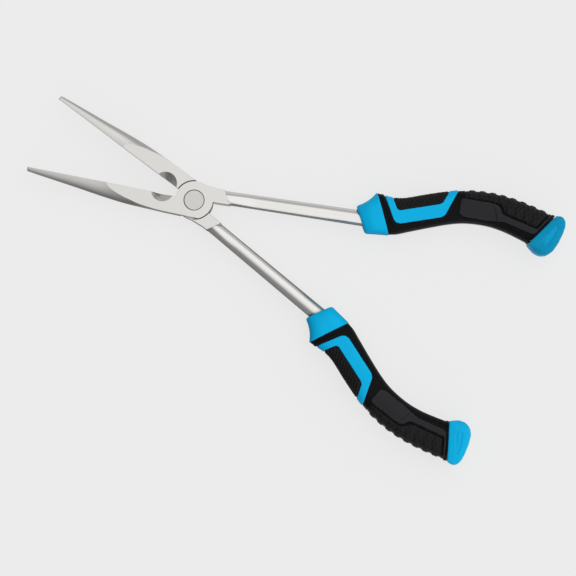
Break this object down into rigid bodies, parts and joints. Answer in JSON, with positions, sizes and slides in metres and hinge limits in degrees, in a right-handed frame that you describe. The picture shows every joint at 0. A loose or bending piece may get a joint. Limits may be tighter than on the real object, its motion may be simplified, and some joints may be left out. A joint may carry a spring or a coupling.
{
  "type": "long-nose fishing pliers",
  "caption": "Long-nose pliers for unhooking fish: slim serrated steel jaws with a side cutter, long round shanks, one rivet joint and curved soft grips with blue trim.",
  "frame": {"origin": "on the pivot axis, at the rear flat of the joint where the rivet's rear head is flush", "axes": "+X along the symmetry line towards the handles, jaws towards -X; +Z along the pivot towards the front lever; +Y towards the front lever's handle"},
  "size_m": [0.2664, 0.139, 0.017],
  "materials": {
    "stainless": "satin ground",
    "rivet_steel": "ground flush",
    "core_plastic": "moulded, hidden",
    "blue_plastic": "satin moulded",
    "black_rubber": "satin soft-touch",
    "pad_rubber": "textured matte",
    "grey_rubber": "smooth satin"
  },
  "bodies": {
    "front_half": {"front_lever": "stainless", "pivot_rivet": "rivet_steel", "front_grip_core": "core_plastic", "front_collar": "blue_plastic", "front_grip_sleeve": "black_rubber", "front_accent_frame": "blue_plastic", "front_thumb_pad": "pad_rubber", "front_palm_pad": "pad_rubber", "front_outer_panel": "grey_rubber", "front_inner_panel": "grey_rubber", "front_end_cap": "blue_plastic"},
    "rear_half": {"rear_lever": "stainless", "rear_grip_core": "core_plastic", "rear_collar": "blue_plastic", "rear_grip_sleeve": "black_rubber", "rear_accent_frame": "blue_plastic", "rear_thumb_pad": "pad_rubber", "rear_palm_pad": "pad_rubber", "rear_outer_panel": "grey_rubber", "rear_inner_panel": "grey_rubber", "rear_end_cap": "blue_plastic"}
  },
  "joints": [
    {"name": "jaw_pivot", "type": "hinge", "parent": "front_half", "child": "rear_half", "pos_m": [0, 0, 0], "axis": [0, 0, 1], "range_deg": [-34, 25.2]}
  ]
}
